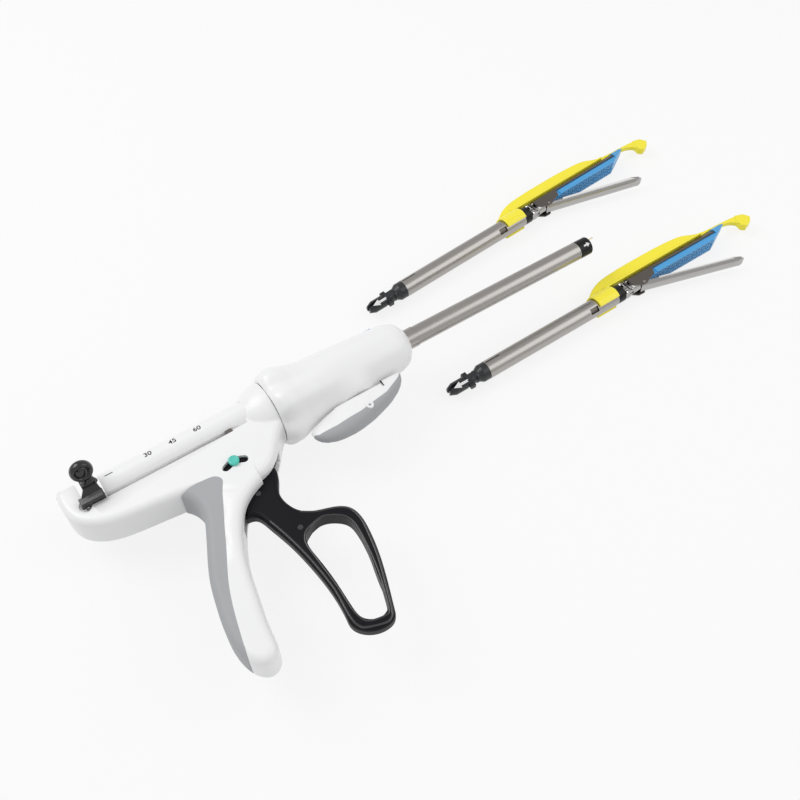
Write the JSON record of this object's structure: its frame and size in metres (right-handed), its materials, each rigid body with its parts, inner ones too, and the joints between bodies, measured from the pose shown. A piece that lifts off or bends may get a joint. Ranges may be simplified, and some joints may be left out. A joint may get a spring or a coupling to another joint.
{
  "type": "endoscopic linear cutter stapler",
  "caption": "Hand-held endoscopic linear cutter stapler: pistol handle with trigger, rotation knob, articulation lever and slim shaft, with loose reloads in shipping wedges.",
  "frame": {"origin": "on the shaft's axis, at the step where the 12 mm shaft leaves its root ferrule", "axes": "+X along the shaft towards its tip, +Y towards the handle's top and away from the grip, +Z away from the table that the stapler lies on"},
  "size_m": [0.5019, 0.2347, 0.0622],
  "materials": {
    "white_plastic": "satin moulded",
    "grip_grey": "soft matte overmould",
    "trigger_black": "satin moulded",
    "knob_black": "satin moulded",
    "slider_teal": "gloss moulded",
    "unload_blue": "gloss moulded",
    "shaft_steel": "fine turned",
    "cap_black": "satin moulded",
    "contact_metal": "plain",
    "rack_steel": "plain",
    "spring_steel": "plain",
    "pin_steel": "plain",
    "tube_steel": "fine turned",
    "coupling_grey": "moulded",
    "neck_black": "moulded",
    "jaw_steel": "stamped and polished",
    "cartridge_blue": "moulded",
    "blade_steel": "ground",
    "wedge_yellow": "gloss moulded"
  },
  "bodies": {
    "handle": {"housing_near": "white_plastic", "housing_far": "white_plastic", "grip_pad_near": "grip_grey", "grip_pad_far": "grip_grey", "trigger_pin": "pin_steel", "trigger_spring": "spring_steel", "safety_plate": "knob_black"},
    "trigger": {"trigger": "trigger_black", "pawl_pin": "pin_steel"},
    "drive_pawl": {"drive_pawl": "rack_steel"},
    "rack": {"firing_rack": "rack_steel", "firing_rod": "rack_steel", "retract_plate": "rack_steel", "return_knob_near": "knob_black", "return_knob_far": "knob_black"},
    "safety_slider": {"safety_slider": "slider_teal"},
    "barrel": {"rotation_knob_near": "white_plastic", "rotation_knob_far": "white_plastic", "unload_spring": "spring_steel", "shaft_tube": "shaft_steel", "tube_collar": "rack_steel", "tip_cap": "cap_black", "tip_contacts": "contact_metal"},
    "lever": {"articulation_lever": "white_plastic", "lever_pad": "grip_grey", "lever_crank": "rack_steel"},
    "articulation_slide": {"articulation_slide": "rack_steel"},
    "unload_slider": {"unload_slider": "unload_blue"},
    "reload_1": {"reload_1_tube": "tube_steel", "reload_1_coupling": "coupling_grey", "reload_1_neck": "neck_black", "reload_1_drive_beam": "rack_steel", "reload_1_swivel_pins": "pin_steel"},
    "reload_1_jaw": {"reload_1_swivel_block": "jaw_steel", "reload_1_channel": "jaw_steel", "reload_1_cartridge": "cartridge_blue", "reload_1_jaw_pin": "pin_steel"},
    "reload_1_upper_jaw": {"reload_1_anvil": "jaw_steel"},
    "reload_1_knife": {"reload_1_knife_sled": "blade_steel"},
    "reload_1_link": {"reload_1_articulation_link": "rack_steel"},
    "reload_1_wedge": {"reload_1_shipping_wedge": "wedge_yellow"},
    "reload_2": {"reload_2_tube": "tube_steel", "reload_2_coupling": "coupling_grey", "reload_2_neck": "neck_black", "reload_2_drive_beam": "rack_steel", "reload_2_swivel_pins": "pin_steel"},
    "reload_2_jaw": {"reload_2_swivel_block": "jaw_steel", "reload_2_channel": "jaw_steel", "reload_2_cartridge": "cartridge_blue", "reload_2_jaw_pin": "pin_steel"},
    "reload_2_upper_jaw": {"reload_2_anvil": "jaw_steel"},
    "reload_2_knife": {"reload_2_knife_sled": "blade_steel"},
    "reload_2_link": {"reload_2_articulation_link": "rack_steel"},
    "reload_2_wedge": {"reload_2_shipping_wedge": "wedge_yellow"}
  },
  "joints": [
    {"name": "trigger_squeeze", "type": "hinge", "parent": "handle", "child": "trigger", "pos_m": [-0.1367, -0.0362, 0], "axis": [0, 0, -1], "range_deg": [0, 18], "stiffness_Nm_per_rad": 0.25, "springref_deg": -20.05},
    {"name": "pawl_swing", "type": "hinge", "parent": "trigger", "child": "drive_pawl", "pos_m": [-0.135, -0.0195, 0], "axis": [0, 0, 1], "range_deg": [-4, 3], "stiffness_Nm_per_rad": 0.004},
    {"name": "rack_stroke", "type": "slide", "parent": "handle", "child": "rack", "axis": [1, 0, 0], "range_m": [0, 0.072]},
    {"name": "safety_slide", "type": "hinge", "parent": "handle", "child": "safety_slider", "pos_m": [-0.1367, -0.0362, 0], "axis": [0, 0, 1], "range_deg": [-8, 8]},
    {"name": "barrel_turn", "type": "hinge", "parent": "handle", "child": "barrel", "pos_m": [0, 0, 0], "axis": [1, 0, 0], "continuous": true},
    {"name": "lever_turn", "type": "hinge", "parent": "barrel", "child": "lever", "pos_m": [-0.0524, -0.02, 0], "axis": [0, 1, 0], "range_deg": [-45, 45]},
    {"name": "articulation_travel", "type": "slide", "parent": "barrel", "child": "articulation_slide", "axis": [1, 0, 0], "range_m": [-0.0036, 0.0036]},
    {"name": "unload_travel", "type": "slide", "parent": "barrel", "child": "unload_slider", "axis": [-1, 0, 0], "range_m": [0, 0.004], "stiffness_N_per_m": 150, "springref_m": -0.001},
    {"name": "reload_1_lift", "type": "slide", "parent": "handle", "child": "reload_1", "axis": [0, 0, 1], "range_m": [0, 0.06]},
    {"name": "reload_1_swivel", "type": "hinge", "parent": "reload_1", "child": "reload_1_jaw", "pos_m": [0.14628, 0.06345, -0.024], "axis": [-0.0837, 0.9965, 0], "range_deg": [-45, 45]},
    {"name": "reload_1_link_travel", "type": "slide", "parent": "reload_1", "child": "reload_1_link", "axis": [0.9965, 0.0837, 0], "range_m": [-0.0022, 0.0022]},
    {"name": "reload_1_jaw_close", "type": "hinge", "parent": "reload_1_jaw", "child": "reload_1_upper_jaw", "pos_m": [0.15863, 0.05987, -0.024], "axis": [0, 0, 1], "range_deg": [0, 16.3], "stiffness_Nm_per_rad": 0.06, "springref_deg": -11.46},
    {"name": "reload_1_knife_stroke", "type": "slide", "parent": "reload_1_jaw", "child": "reload_1_knife", "axis": [0.9965, 0.0837, 0], "range_m": [0, 0.058]},
    {"name": "reload_1_wedge_pull", "type": "slide", "parent": "reload_1", "child": "reload_1_wedge", "axis": [-0.0837, 0.9965, 0], "range_m": [0, 0.02]},
    {"name": "reload_2_lift", "type": "slide", "parent": "handle", "child": "reload_2", "axis": [0, 0, 1], "range_m": [0, 0.06]},
    {"name": "reload_2_swivel", "type": "hinge", "parent": "reload_2", "child": "reload_2_jaw", "pos_m": [0.15198, -0.03032, -0.024], "axis": [-0.0175, 0.9998, 0], "range_deg": [-45, 45]},
    {"name": "reload_2_link_travel", "type": "slide", "parent": "reload_2", "child": "reload_2_link", "axis": [0.9998, 0.0175, 0], "range_m": [-0.0022, 0.0022]},
    {"name": "reload_2_jaw_close", "type": "hinge", "parent": "reload_2_jaw", "child": "reload_2_upper_jaw", "pos_m": [0.16406, -0.03471, -0.024], "axis": [0, 0, 1], "range_deg": [0, 16.3], "stiffness_Nm_per_rad": 0.06, "springref_deg": -11.46},
    {"name": "reload_2_knife_stroke", "type": "slide", "parent": "reload_2_jaw", "child": "reload_2_knife", "axis": [0.9998, 0.0175, 0], "range_m": [0, 0.058]},
    {"name": "reload_2_wedge_pull", "type": "slide", "parent": "reload_2", "child": "reload_2_wedge", "axis": [-0.0175, 0.9998, 0], "range_m": [0, 0.02]}
  ],
  "couplings": [
    {"joint": "articulation_travel", "follows": "lever_turn", "m_per_rad": 0.0045},
    {"joint": "reload_1_link_travel", "follows": "reload_1_swivel", "m_per_rad": 0.00272},
    {"joint": "reload_2_link_travel", "follows": "reload_2_swivel", "m_per_rad": 0.00272}
  ]
}
